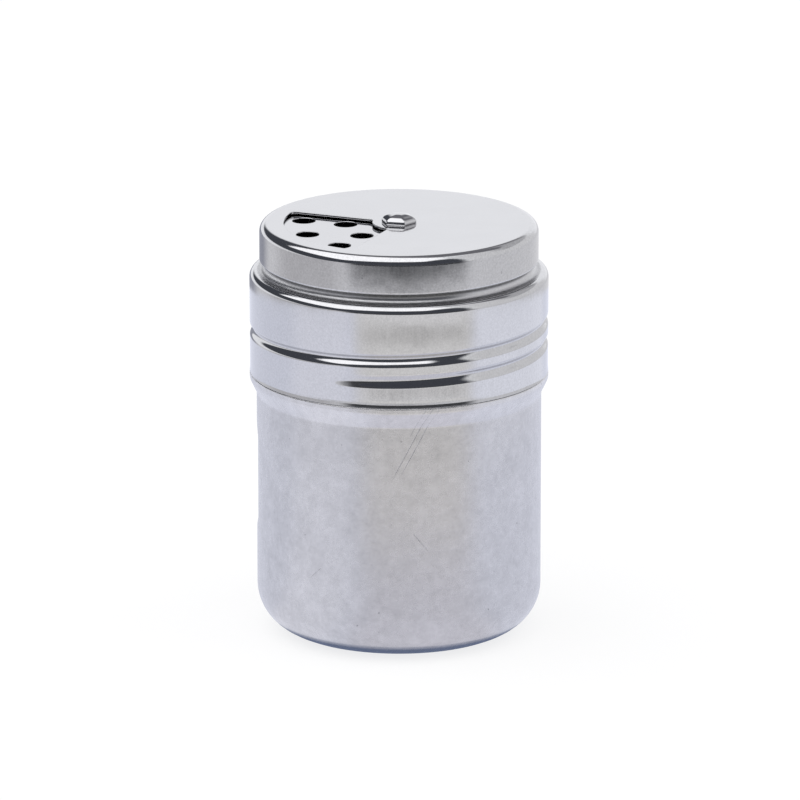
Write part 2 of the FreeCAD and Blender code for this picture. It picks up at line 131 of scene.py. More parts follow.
class ShakerLid(bpy.types.PropertyGroup):
    """Sizes of the screw lid."""
    shoulder_round: length("Shoulder rounding", "Outside rounding of the shoulder", 1.5 * MM)
    shoulder_width: length("Shoulder width", "From the outside of the band in to the neck", 3.5 * MM)
    neck_root: length("Neck root", "Rounding between shoulder and neck", 1.2 * MM)
    plate_round: length("Plate rounding", "Outside rounding of the plate's rim", 1.2 * MM)
    mouth: length("Mouth", "How far the band widens again at its lower edge", 0.1 * MM)
    mouth_height: length("Mouth height", "Height over which it widens", 1.2 * MM)
    hole_radius: length("Hole radius", "Radius of each of the five holes", 2.5 * MM)
    hole_outer: length("Outer row", "Distance of the outer holes from the axis", 21.1 * MM)
    hole_inner: length("Inner row", "Distance of the inner holes from the axis", 11.65 * MM)
    hole_outer_step: angle("Outer step", "Angle from one outer hole to the next", 32)
    hole_inner_step: angle("Inner step", "Angle between the inner holes", 52)
    fine_radius: length("Fine hole", "Radius of each fine hole", 1.1 * MM)
    fine_outer: length("Fine row", "Distance of the outer row of fine holes from the axis", 21 * MM)
    fine_row: length("Row gap", "Distance from row to row of fine holes", 4.5 * MM)
    fine_spacing: length("Hole gap", "Distance between fine holes in a row", 4.6 * MM)
    pour_outer: length("Pour outside", "Outside radius of the pouring opening", 23.6 * MM)
    pour_inner: length("Pour inside", "Inside radius of the pouring opening", 9.5 * MM)
    pour_span: angle("Pour span", "Angle of the pouring opening", 58)
    pour_corner: length("Pour corner", "Corner rounding of the pouring opening", 2 * MM)


class ShakerDial(bpy.types.PropertyGroup):
    """Sizes of the dial cap."""
    round: length("Top rounding", "Outside rounding of the cap's top", 1.9 * MM)
    lip_round: length("Lip rounding", "Outside rounding of the turned-in lip", 0.45 * MM)
    lip_width: length("Lip width", "How far the lip turns in", 1.1 * MM)
    lip_rise: length("Lip rise", "How far the lip ends above the solid's lower edge", 0.5 * MM)
    window_outer: length("Window outside", "Outside radius of the window", 25 * MM)
    window_inner: length("Window inside", "Inside radius of the window", 5.8 * MM)
    window_span: angle("Window span", "Angle that the window opens", 88.7)
    window_corner: length("Window corner", "Corner rounding of the window", 1.6 * MM)
    azimuth: angle("Pattern direction", "Direction of the five holes from +X towards +Y", 200.5)
    turn: angle("Window turn", "How far the window is turned on from the five holes", 1.85)
    cut_round: length("Cut edge", "Rounding of punched edges", 0.14 * MM)
    bore: length("Bore", "Radius of the bore for the rivet", 1.55 * MM)


class ShakerRivet(bpy.types.PropertyGroup):
    """Sizes of the rivet."""
    head: length("Head", "From the head's centre to a corner", 3.95 * MM)
    height: length("Height", "Height of the head in its middle", 1.85 * MM)
    side: length("Side", "Height of the head's upright sides", 0.4 * MM)
    worn: length("Corners", "How much of each corner is rounded off", 0.12 * MM)
    azimuth: angle("Corner direction", "Direction of one corner of the head", -13)
    shank: length("Shank", "Radius of the shank", 1.5 * MM)
    tail: length("Tail", "Radius of the headed-over tail", 2.6 * MM)


class ShakerFinish(bpy.types.PropertyGroup):
    """Colours and gloss of the steel and the soft parts."""
    cup_tint: tint("Cup steel", "Colour of the cup's satin steel", (0.60, 0.595, 0.60))
    lid_tint: tint("Lid steel", "Colour of the lid's steel", (0.60, 0.60, 0.61))
    dial_tint: tint("Dial steel", "Colour of the dial's steel", (0.61, 0.61, 0.62))
    cup_rough: share("Cup roughness", "Roughness of the cup's wall", 0.27)
    lid_rough: share("Lid roughness", "Roughness of the lid's band", 0.06)
    dial_rough: share("Dial roughness", "Roughness of the dial", 0.08)
    seal_tint: tint("Seal", "Colour of the silicone", (0.80, 0.80, 0.77))
    spacer_tint: tint("Spacer", "Colour of the plastic washer", (0.82, 0.82, 0.79))


class ShakerStage(bpy.types.PropertyGroup):
    """Camera and floor."""
    lens: bpy.props.FloatProperty(name="Lens", description="Focal length in millimetres", default=412.56)
    distance: length("Camera distance", "From the object's axis to the camera, along the floor", 1.92252)
    height: length("Camera height", "Height of the camera above the floor", 0.59627)
    aim: length("Aim", "Height that the camera looks at", 0.0509)
    aside: length("Aside", "How far the camera stands to the right of the axis", 0.00022)
    floor: length("Floor", "Radius of the floor", 2.4)


class ShakerSettings(bpy.types.PropertyGroup):
    """Everything about the shaker that a user can change."""
    cup: bpy.props.PointerProperty(type=ShakerCup)
    thread: bpy.props.PointerProperty(type=ShakerThread)
    lid: bpy.props.PointerProperty(type=ShakerLid)
    dial: bpy.props.PointerProperty(type=ShakerDial)
    rivet: bpy.props.PointerProperty(type=ShakerRivet)
    finish: bpy.props.PointerProperty(type=ShakerFinish)
    stage: bpy.props.PointerProperty(type=ShakerStage)


# Outlines and turned sheets

# Angle from point to point of a rounding
ARC_STEP = math.radians(7)
# Straight points beside each rounding, which keep its shading off the flats
GUARD = 0.03 * MM
# Points round a turned sheet and round the rivet
ROUND_COUNT = 360
RIVET_COUNT = 96
# Points from the top of the rivet's dome to its side
DOME_COUNT = 15
# Points round one of the five holes, the bore and a fine hole
HOLE_COUNT = 48
BORE_COUNT = 32
FINE_COUNT = 28
# Points along a sector's outer arc, its inner arc and each of its corners
OUTER_COUNT = 48
INNER_COUNT = 12
CORNER_COUNT = 9
# Points across the rounded edge of an opening
EDGE_COUNT = 4
# Edges within this distance of a height lie on its level
LEVEL_GAP = 1e-7


def unit(direction):
    """A direction with length one."""
    return direction / np.linalg.norm(direction)


def rounded(corners):
    """An open outline through corners, each a radius, a height and a rounding."""
    places = [np.array(corner[:2], float) for corner in corners]
    points = [places[0]]
    for before, corner, after, (_, _, rounding) in zip(places, places[1:], places[2:], corners[1:]):
        if rounding == 0:
            points.append(corner)
            continue
        back, on = unit(before - corner), unit(after - corner)
        half = math.acos(np.clip(back @ on, -1, 1)) / 2
        turn = math.pi - 2 * half
        centre = corner + unit(back + on) * rounding / math.sin(half)
        first = corner + back * rounding / math.tan(half) - centre
        side = math.copysign(1, -back[0] * on[1] + back[1] * on[0])
        count = max(2, math.ceil(turn / ARC_STEP))
        points.append(centre + first + back * GUARD)
        for step in range(count + 1):
            bend = side * turn * step / count
            cosine, sine = math.cos(bend), math.sin(bend)
            points.append(centre + np.array([first[0] * cosine - first[1] * sine,
                                             first[0] * sine + first[1] * cosine]))
        points.append(points[-1] + on * GUARD)
    points.append(places[-1])
    return points


def divided(points, longest):
    """An outline whose runs are halved until none is longer than longest gives for its middle."""
    result = [points[0]]

    def add(start, end):
        middle = (start + end) / 2
        if np.linalg.norm(end - start) > longest(middle):
            add(start, middle)
            add(middle, end)
        else:
            result.append(end)

    for start, end in zip(points, points[1:]):
        add(start, end)
    return np.array(result)


def turned(outline, shift=None):
    """Rows of points: an outline turned about the axis, with its radius changed by shift(azimuth, height)."""
    azimuth = np.arange(ROUND_COUNT) * FULL_TURN / ROUND_COUNT
    azimuth, radius = np.meshgrid(azimuth, outline[:, 0])
    height = np.repeat(outline[:, 1:], ROUND_COUNT, axis=1)
    if shift is not None:
        radius = radius + shift(azimuth, height) * (radius > 0)
    return np.stack([radius * np.cos(azimuth), radius * np.sin(azimuth), height], axis=-1)


def helix(azimuth, height, rise, pitch, above, below, start, lead, end, fade):
    """How deep a rolled thread is, from nought to one, at directions and heights."""
    deepest = np.zeros_like(azimuth)
    for turn in (-1, 0, 1):
        along = azimuth + turn * FULL_TURN
        off = height - rise - pitch * along / FULL_TURN
        across = np.clip(np.abs(off) / np.where(off > 0, above, below), 0, 1)
        inward = np.sin(QUARTER * np.clip((along - start) / lead, 0, 1))
        outward = np.cos(QUARTER * np.clip((along - end) / fade, 0, 1)) ** 2
        deepest = np.maximum(deepest, np.cos(QUARTER * across) ** 2 * inward * outward)
    return deepest


class SheetMesh:
    """Points and faces of one piece, gathered from grids before they become a mesh."""

    def __init__(self):
        self.points = []
        self.faces = []

    def grid(self, rows):
        """Adds closed rows of points, with faces from each row to the next."""
        first = len(self.points)
        count = len(rows[0])
        self.points.extend(map(tuple, np.asarray(rows).reshape(-1, 3)))
        for row in range(len(rows) - 1):
            low, high = first + row * count, first + (row + 1) * count
            for place in range(count):
                following = (place + 1) % count
                self.faces.append((low + place, low + following, high + following, high + place))

    def piece(self, name, levels=(), poles=()):
        """Makes the object. Each level is filled flat round its openings, and each pole closes a ring."""
        mesh = bpy.data.meshes.new(name)
        mesh.from_pydata(self.points, [], self.faces)
        work = bmesh.new()
        work.from_mesh(mesh)
        for face in work.faces:
            face.smooth = True
        for height in levels:
            fill_level(work, height)
        for height in poles:
            close_pole(work, height)
        bmesh.ops.recalc_face_normals(work, faces=work.faces)
        work.to_mesh(mesh)
        work.free()
        made = bpy.data.objects.new(name, mesh)
        bpy.context.collection.objects.link(made)
        return made


def open_edges(work, height):
    """Edges on one level that have a face on one side only."""
    return [edge for edge in work.edges
            if edge.is_boundary and all(abs(vertex.co.z - height) < LEVEL_GAP for vertex in edge.verts)]


def fill_level(work, height):
    """Fills the flat area between a ring and the openings inside it."""
    made = bmesh.ops.triangle_fill(work, edges=open_edges(work, height), use_beauty=True, normal=(0, 0, 1))
    for item in made["geom"]:
        if isinstance(item, bmesh.types.BMFace):
            item.smooth = False


def close_pole(work, height):
    """Closes a ring round the axis with triangles to a point in its middle."""
    edges = open_edges(work, height)
    middle = work.verts.new((0, 0, height))
    for edge in edges:
        work.faces.new((*edge.verts, middle)).smooth = True


def opening_rows(loop, top, bottom, rounding):
    """Rows of points down the wall of an opening through a sheet, with both of its edges rounded."""
    ahead = np.roll(loop, -1, axis=0) - np.roll(loop, 1, axis=0)
    ahead /= np.linalg.norm(ahead, axis=1)[:, None]
    outward = np.stack([ahead[:, 1], -ahead[:, 0]], axis=-1)
    steps = np.linspace(0, QUARTER, EDGE_COUNT)
    upper = [(1 - math.sin(step), top - rounding * (1 - math.cos(step))) for step in steps]
    lower = [(1 - math.sin(step), bottom + rounding * (1 - math.cos(step))) for step in reversed(steps)]
    rows = []
    for wider, height in upper + lower:
        flat = loop + outward * rounding * wider
        rows.append(np.column_stack([flat, np.full(len(flat), height)]))
    return rows


def circle_loop(radius, distance, azimuth, count):
    """A round opening's outline, counterclockwise."""
    turn = np.arange(count) * FULL_TURN / count
    centre = np.array([math.cos(azimuth), math.sin(azimuth)]) * distance
    return centre + radius * np.stack([np.cos(turn), np.sin(turn)], axis=-1)


def sector_loop(outer, inner, azimuth, span, corner):
    """A ring's sector with rounded corners, counterclockwise."""
    def corner_points(distance, side, start, end):
        swing = math.asin(corner / distance)
        bearing = azimuth + side * (span / 2 - swing)
        centre = np.array([math.cos(bearing), math.sin(bearing)]) * distance
        turn = bearing + np.linspace(start, end, CORNER_COUNT)
        return centre + corner * np.stack([np.cos(turn), np.sin(turn)], axis=-1)

    def arc_points(radius, start, end, count):
        turn = azimuth + np.linspace(start, end, count + 1)[1:-1]
        return radius * np.stack([np.cos(turn), np.sin(turn)], axis=-1)

    far, near = outer - corner, inner + corner
    far_swing, near_swing = math.asin(corner / far), math.asin(corner / near)
    far_half, near_half = span / 2 - far_swing, span / 2 - near_swing
    return np.concatenate([
        arc_points(outer, -far_half, far_half, OUTER_COUNT),
        corner_points(far, 1, 0, QUARTER + far_swing),
        corner_points(near, 1, QUARTER + near_swing, math.pi),
        arc_points(inner, near_half, -near_half, INNER_COUNT),
        corner_points(near, -1, math.pi, FULL_TURN - QUARTER - near_swing),
        corner_points(far, -1, -QUARTER - far_swing, 0),
    ])


# Materials

class Wire:
    """An output socket. Arithmetic on it adds Math nodes."""

    def __init__(self, nodes, socket):
        self.nodes = nodes
        self.socket = socket

    def at(self, output):
        """Another output of the same node."""
        return Wire(self.nodes, self.socket.node.outputs[output])

    def maths(self, operation, *values):
        """The result of a Math node whose values are given in order."""
        return self.nodes.add("ShaderNodeMath", {"operation": operation}, dict(enumerate(values)))

    def __add__(self, other):
        return self.maths("ADD", self, other)

    __radd__ = __add__

    def __sub__(self, other):
        return self.maths("SUBTRACT", self, other)

    def __rsub__(self, other):
        return self.maths("SUBTRACT", other, self)

    def __mul__(self, other):
        return self.maths("MULTIPLY", self, other)

    __rmul__ = __mul__

    def __truediv__(self, other):
        return self.maths("DIVIDE", self, other)

    def __abs__(self):
        return self.maths("ABSOLUTE", self)


class Nodes:
    """A node tree that is filled from nothing."""

    def __init__(self, tree):
        tree.nodes.clear()
        self.tree = tree

    def add(self, kind, settings=None, sockets=None, output=0):
        """Adds a node: its settings come first, then its sockets, which take values or wires."""
        made = self.tree.nodes.new(kind)
        for name, value in (settings or {}).items():
            setattr(made, name, value)
        for name, value in (sockets or {}).items():
            if isinstance(value, Wire):
                self.tree.links.new(value.socket, made.inputs[name])
            else:
                made.inputs[name].default_value = value
        return Wire(self, made.outputs[output]) if len(made.outputs) else None

    def step(self, value, low, high, start=0.0, end=1.0):
        """A soft step from start to end as value goes from low to high."""
        return self.add("ShaderNodeMapRange", {"interpolation_type": "SMOOTHSTEP"},
                        {"Value": value, "From Min": low, "From Max": high, "To Min": start, "To Max": end})

    def between(self, value, low, high, blur):
        """A soft mask of one between low and high."""
        return self.step(value, low - blur, low + blur) * self.step(value, high - blur, high + blur, 1.0, 0.0)

    def blend(self, mask, first, second):
        """A colour that goes from first to second with a mask."""
        return self.add("ShaderNodeMix", {"data_type": "RGBA"}, {0: mask, 6: first, 7: second}, output=2)

    def shade(self, colour, value):
        """A colour made darker or lighter by a value."""
        return self.add("ShaderNodeVectorMath", {"operation": "SCALE"}, {0: tuple(colour), "Scale": value})

    def stretched(self, vector, scale):
        """A vector with its three parts scaled apart."""
        return self.add("ShaderNodeVectorMath", {"operation": "MULTIPLY"}, {0: vector, 1: scale})

    def noise(self, vector, scale, detail=2.0, rough=0.5):
        """Fractal noise about nought, from about -0.5 to 0.5."""
        return self.add("ShaderNodeTexNoise", {}, {
            "Vector": vector, "Scale": scale, "Detail": detail, "Roughness": rough}) - 0.5

    def bearing(self, vector):
        """Direction about the axis, in degrees from the front towards +X, and distance from the axis."""
        parts = self.add("ShaderNodeSeparateXYZ", {}, {"Vector": vector})
        across, along = parts.at("X"), parts.at("Y")
        turn = parts.maths("ARCTAN2", across, along * -1.0) * math.degrees(1)
        distance = parts.maths("SQRT", across * across + along * along)
        return turn, distance, parts.at("Z")


def rgba(red, green, blue):
    """A colour as a socket takes it."""
    return (red, green, blue, 1.0)


def new_material(name):
    """A material with an empty node tree."""
    material = bpy.data.materials.new(name)
    material.use_nodes = True
    return material, Nodes(material.node_tree)


def finish_material(nodes, sockets):
    """Ends a material with its shader."""
    shader = nodes.add("ShaderNodeBsdfPrincipled", {}, sockets)
    nodes.add("ShaderNodeOutputMaterial", {}, {"Surface": shader})


# Scratches on the cup, each from a bearing in degrees and a height in mm to another, with its width in mm
SCRATCHES = (
    ((14.0, 59.0), (-1.5, 43.0), 0.09),
    ((16.5, 58.8), (2.0, 44.0), 0.07),
    ((11.0, 58.5), (5.0, 52.0), 0.06),
    ((6.0, 29.5), (11.5, 25.8), 0.08),
    ((-38.0, 18.0), (-33.0, 20.5), 0.08),
    ((96.0, 38.0), (84.0, 31.0), 0.09),
    ((190.0, 45.0), (172.0, 40.0), 0.09),
    ((-120.0, 24.0), (-112.0, 33.0), 0.08),
)
# How far a scratch fades to either side of each end, as a share of its length
SCRATCH_FADE_SHARE = 0.2


def scratch(nodes, turn, height, start, end, width):
    """A mask of one scratch on the cup's wall."""
    per_degree = CUP_HIGH.x * math.radians(1)
    along = Vector(((end[0] - start[0]) * per_degree, (end[1] - start[1]) * MM))
    reach = along.length
    along.normalize()
    across = (turn - start[0]) * per_degree
    up = height - start[1] * MM
    forward = across * along.x + up * along.y
    aside = abs(across * along.y - up * along.x)
    ends = nodes.between(forward, 0.0, reach, reach * SCRATCH_FADE_SHARE)
    return nodes.step(aside, 0.0, width * MM, 1.0, 0.0) * ends


# Heights of the cup's flare that is lightened as a painted sheen, and how softly it begins and ends
SHEEN_LOW = 53.2 * MM
SHEEN_HIGH = 58.4 * MM
SHEEN_BLUR = 0.7 * MM
# How deep the bumps of each surface are
CUP_RELIEF = 0.012 * MM
TURNED_RELIEF = 0.008 * MM
SOFT_RELIEF = 0.01 * MM


def cup_steel(finish):
    """Satin steel with a fine crepe, soft patches, a few specks, thin scratches and a painted sheen on its
    flare.
    """
    material, nodes = new_material("CupSteel")
    place = nodes.add("ShaderNodeTexCoord", output="Object")
    turn, _, height = nodes.bearing(place)
    crepe = nodes.noise(place, 1150.0, 3.0, 0.6)
    mottle = nodes.noise(place, 330.0, 3.0, 0.65)
    patches = nodes.noise(place, 95.0, 2.0)
    drawn = nodes.noise(nodes.stretched(place, (1.0, 1.0, 0.06)), 900.0, 2.0)
    specks = nodes.step(nodes.noise(place, 760.0, 1.0), 0.285, 0.300)
    # Painted sheen: the flare's colour is lightened to stand in for its bright reflection of the floor
    painted_flare_sheen = nodes.between(height, SHEEN_LOW, SHEEN_HIGH, SHEEN_BLUR)
    marks = sum(scratch(nodes, turn, height, *mark) for mark in SCRATCHES)
    shade = 1.0 + crepe * 0.26 + mottle * 0.34 + patches * 0.22 + painted_flare_sheen * 0.12 - specks * 0.35 - marks * 0.16
    colour = nodes.shade(finish.cup_tint, shade)
    rough = finish.cup_rough + patches * 0.06 + crepe * 0.05 + drawn * 0.03 + marks * 0.05
    relief = crepe * 1.2 + mottle * 2.5 + patches * 4.0 + drawn * 0.4 - marks * 2.0
    bump = nodes.add("ShaderNodeBump", {}, {"Strength": 1.0, "Distance": CUP_RELIEF, "Height": relief})
    finish_material(nodes, {"Base Color": colour, "Metallic": 1.0, "Roughness": rough, "Normal": bump})
    return material


# Distances from the axis between which the lines of a wall set in
WALL_START = 27.8 * MM
WALL_FULL = 29 * MM
# Width that a degree has in the rings of the flat top's grain
GRAIN_DEGREE = 0.1 * MM
# The lid's corner under the dial's lip: its distances from the axis, its heights and how softly they end
CORNER_NEAR = 28 * MM
CORNER_FAR = 30.9 * MM
CORNER_BLUR = 0.3 * MM
CORNER_LOW = 79.8 * MM
CORNER_HIGH = 87 * MM
CORNER_END = 0.2 * MM
# Heights between which the painted shade in the corner under the lip sets in
GAP_SHADE_START = 81.5 * MM
GAP_SHADE_FULL = 82.1 * MM


def turned_steel(name, colour, roughness, streaks, corner=0.0):
    """Brighter steel with fine lines down its wall. With corner at one, its corner under the lip is rougher
    and darkened by painted shade.
    """
    material, nodes = new_material(name)
    place = nodes.add("ShaderNodeTexCoord", output="Object")
    turn, distance, height = nodes.bearing(place)
    wall = nodes.step(distance, WALL_START, WALL_FULL)
    lines = nodes.noise(nodes.stretched(place, (1.0, 1.0, 0.03)), 1500.0, 2.0, 0.6) * wall
    rings = nodes.add("ShaderNodeCombineXYZ", {}, {"X": distance, "Y": turn * GRAIN_DEGREE})
    grain = nodes.noise(rings, 2400.0, 2.0)
    patches = nodes.noise(place, 120.0, 2.0)
    pits = nodes.step(nodes.noise(place, 800.0, 1.0), 0.285, 0.30)
    speckle = nodes.noise(place, 2300.0, 2.0, 0.6) * wall
    inner = (nodes.between(distance, CORNER_NEAR, CORNER_FAR, CORNER_BLUR)
             * nodes.between(height, CORNER_LOW, CORNER_HIGH, CORNER_END) * corner)
    # Painted shade: the corner under the dial's lip is darkened where the gap between the parts lies in shade
    painted_gap_shade = inner * nodes.step(height, GAP_SHADE_START, GAP_SHADE_FULL)
    shade = (1.0 + lines * streaks + speckle * streaks * 7.0 + grain * 0.02 + patches * 0.07
             - pits * 0.2 - painted_gap_shade * 0.75)
    rough = roughness + lines * 0.06 + patches * 0.04 + grain * 0.02 + inner * 0.26
    relief = lines * 0.4 + patches * 2.0
    bump = nodes.add("ShaderNodeBump", {}, {"Strength": 1.0, "Distance": TURNED_RELIEF, "Height": relief})
    finish_material(nodes, {"Base Color": nodes.shade(colour, shade), "Metallic": 1.0, "Roughness": rough,
                            "Normal": bump})
    return material


def soft_material(name, colour, roughness, scale):
    """A matt moulded surface with faint clouding."""
    material, nodes = new_material(name)
    place = nodes.add("ShaderNodeTexCoord", output="Object")
    clouds = nodes.noise(place, 260.0, 2.0)
    grain = nodes.noise(place, scale, 3.0)
    bump = nodes.add("ShaderNodeBump", {}, {"Strength": 1.0, "Distance": SOFT_RELIEF, "Height": grain})
    finish_material(nodes, {"Base Color": nodes.shade(colour, 1.0 + clouds * 0.08 + grain * 0.04),
                            "Roughness": roughness + clouds * 0.1, "Normal": bump})
    return material


# Pieces

# Rounding of the sheared edges of cup and lid
SHEAR_ROUND = 0.2 * MM
# How many fine holes each row has, from the outer row inwards
FINE_HOLES = (5, 4, 3)
# Sides of the rivet's head
HEAD_SIDES = 6


def dress(piece, material, body, slot, *nodes):
    """Gives a piece its material and body, and hides the solids that it stands for. The slot is not used."""
    piece.data.materials.append(material)
    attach(piece, body)
    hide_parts(*nodes)


class SHAKER_OT_cup(bpy.types.Operator):
    """Build the drawn cup"""
    bl_idname = "shaker.cup"
    bl_label = "Cup"

    def execute(self, context):
        settings = context.scene.shaker
        form, thread = settings.cup, settings.thread
        sheet, radius, band = form.sheet, form.radius, CUP_HIGH.x
        inside, band_inside = radius - sheet, band - sheet
        foot = radius - form.base_corner - form.foot_width
        recess = foot - form.recess_slope
        flare_end = form.shoulder - form.bead_width
        flare_start = flare_end - form.flare
        rim, floor = CUP_HIGH.z, CUP_LOW.z
        raised = floor + form.recess_rise
        # Ring that a fan closes in the middle of the floor
        pole = recess / 4
        slope_round, inner_round, bead_root = 0.6 * MM, 0.5 * MM, 0.3 * MM
        corners = [
            (pole, raised, 0),
            (recess, raised, slope_round),
            (foot, floor, slope_round),
            (radius, floor, form.base_corner),
            (radius, flare_start, form.flare_round),
            (band, flare_end, form.flare_round),
            (band, form.shoulder, form.bead_round),
            (radius, form.shoulder, bead_root),
            (radius, rim, SHEAR_ROUND),
            (inside, rim, SHEAR_ROUND),
            (inside, form.shoulder - sheet, inner_round),
            (band_inside, form.shoulder - sheet, SHEAR_ROUND),
            (band_inside, flare_end, 0),
            (inside, flare_start, form.flare_round),
            (inside, floor + sheet, form.base_corner - sheet),
            (foot, floor + sheet, inner_round),
            (recess, raised + sheet, inner_round),
            (pole, raised + sheet, 0),
        ]
        plain_neck = 2 * MM
        thread_run, wall_run, floor_run = 0.3 * MM, 0.6 * MM, 3 * MM

        def longest(middle):
            if form.shoulder + plain_neck < middle[1] < rim - plain_neck:
                return thread_run
            return wall_run if middle[0] > foot else floor_run

        def shift(azimuth, height):
            swing = azimuth - form.seat_azimuth
            off = np.hypot(radius * np.sin(swing), height - form.seat_height)
            across = np.clip((form.seat_radius + form.seat_edge / 2 - off) / form.seat_edge, 0, 1)
            pressed = across * across * (3 - 2 * across) * (np.cos(swing) > 0) * (height > form.base_corner)
            width, fade = thread.bead_width, thread.bead_fade
            bead = helix(azimuth, height, thread.bead_rise, thread.pitch, width, width,
                         thread.bead_start, fade, thread.bead_end, fade)
            return thread.bead_depth * bead - form.seat_depth * pressed

        mesh = SheetMesh()
        mesh.grid(turned(divided(rounded(corners), longest), shift))
        cup = mesh.piece("cup_shell", poles=(raised, raised + sheet))
        dress(cup, cup_steel(settings.finish), "cup", "steel_cup", "cup")
        return {"FINISHED"}


class SHAKER_OT_lid(bpy.types.Operator):
    """Build the screw lid with its perforated plate"""
    bl_idname = "shaker.lid"
    bl_label = "Screw lid"

    def execute(self, context):
        settings = context.scene.shaker
        form, thread, dial, sheet = settings.lid, settings.thread, settings.dial, settings.cup.sheet
        band, plate, bottom = LID_HIGH.x, LID_HIGH.z, LID_LOW.z
        shoulder = SEAL_HIGH.z + sheet
        neck = band - form.shoulder_width
        # Ring inside which the plate is filled round its openings
        margin = 0.9 * MM
        flat = neck - form.plate_round - margin
        # Roundings of the band where it widens towards its mouth, the last one at its lower edge
        mouth_start, mouth_bend, mouth_edge = 18 * MM, 7 * MM, 0.06 * MM
        # Where the middle rounding lies in the mouth's width and height
        out_share, up_share = 0.6, 0.4
        corners = [
            (flat, plate, 0),
            (neck, plate, form.plate_round),
            (neck, shoulder, form.neck_root),
            (band, shoulder, form.shoulder_round),
            (band - form.mouth, bottom + form.mouth_height, mouth_start),
            (band - form.mouth * out_share, bottom + form.mouth_height * up_share, mouth_bend),
            (band, bottom, mouth_edge),
            (band - sheet, bottom, SHEAR_ROUND),
            (band - sheet, shoulder - sheet, form.shoulder_round - sheet),
            (neck - sheet, shoulder - sheet, form.neck_root + sheet),
            (neck - sheet, plate - sheet, form.plate_round - sheet),
            (flat, plate - sheet, 0),
        ]
        groove_top = 74 * MM
        groove_run, plain_run = 0.25 * MM, 1.5 * MM

        def longest(middle):
            grooved = middle[0] > neck + form.shoulder_width / 2 and middle[1] < groove_top
            return groove_run if grooved else plain_run

        def shift(azimuth, height):
            groove = helix(azimuth, height, thread.rise, thread.pitch, thread.above, thread.below,
                           thread.start, thread.lead, thread.end, thread.fade)
            return -thread.depth * groove

        mesh = SheetMesh()
        mesh.grid(turned(divided(rounded(corners), longest), shift))
        for loop in plate_loops(form, dial):
            mesh.grid(opening_rows(loop, plate, plate - sheet, dial.cut_round))
        lid = mesh.piece("lid_shell", levels=(plate, plate - sheet))
        finish = settings.finish
        steel = turned_steel("LidSteel", finish.lid_tint, finish.lid_rough, streaks=0.05, corner=1.0)
        dress(lid, steel, "lid", "steel_lid", "screw_lid")
        return {"FINISHED"}


def plate_loops(form, dial):
    """Outlines of the plate's openings: the bore, five holes, rows of fine holes and the pouring opening."""
    azimuth = dial.azimuth
    loops = [circle_loop(dial.bore, 0, 0, BORE_COUNT)]
    for place in (-1, 0, 1):
        bearing = azimuth + place * form.hole_outer_step
        loops.append(circle_loop(form.hole_radius, form.hole_outer, bearing, HOLE_COUNT))
    for place in (-1, 1):
        bearing = azimuth + place * form.hole_inner_step / 2
        loops.append(circle_loop(form.hole_radius, form.hole_inner, bearing, HOLE_COUNT))
    for row, count in enumerate(FINE_HOLES):
        distance = form.fine_outer - row * form.fine_row
        for place in range(count):
            swing = (place - (count - 1) / 2) * form.fine_spacing / distance
            loops.append(circle_loop(form.fine_radius, distance, azimuth + QUARTER + swing, FINE_COUNT))
    loops.append(sector_loop(form.pour_outer, form.pour_inner, azimuth + math.pi, form.pour_span,
                             form.pour_corner))
    return loops


class SHAKER_OT_dial(bpy.types.Operator):
    """Build the dial cap with its window"""
    bl_idname = "shaker.dial"
    bl_label = "Dial cap"

    def execute(self, context):
        settings = context.scene.shaker
        form, sheet = settings.dial, settings.cup.sheet
        outside, top, bottom = DIAL_HIGH.x, DIAL_HIGH.z, DIAL_LOW.z + form.lip_rise
        inside, lip = outside - sheet, outside - form.lip_width
        # Ring inside which the top is filled round its openings
        margin, plain_run = 1.2 * MM, 1.2 * MM
        flat = outside - form.round - margin
        edge = 0.15 * MM
        corners = [
            (flat, top, 0),
            (outside, top, form.round),
            (outside, bottom, form.lip_round),
            (lip, bottom, edge),
            (lip, bottom + sheet, edge),
            (inside, bottom + sheet, edge),
            (inside, top - sheet, form.round - sheet),
            (flat, top - sheet, 0),
        ]
        mesh = SheetMesh()
        mesh.grid(turned(divided(rounded(corners), lambda middle: plain_run)))
        window = sector_loop(form.window_outer, form.window_inner, form.azimuth + form.turn, form.window_span,
                             form.window_corner)
        for loop in (window, circle_loop(form.bore, 0, 0, BORE_COUNT)):
            mesh.grid(opening_rows(loop, top, top - sheet, form.cut_round))
        dial = mesh.piece("dial_shell", levels=(top, top - sheet))
        finish = settings.finish
        steel = turned_steel("DialSteel", finish.dial_tint, finish.dial_rough, streaks=0.07)
        dress(dial, steel, "dial", "steel_dial", "dial_cap")
        return {"FINISHED"}


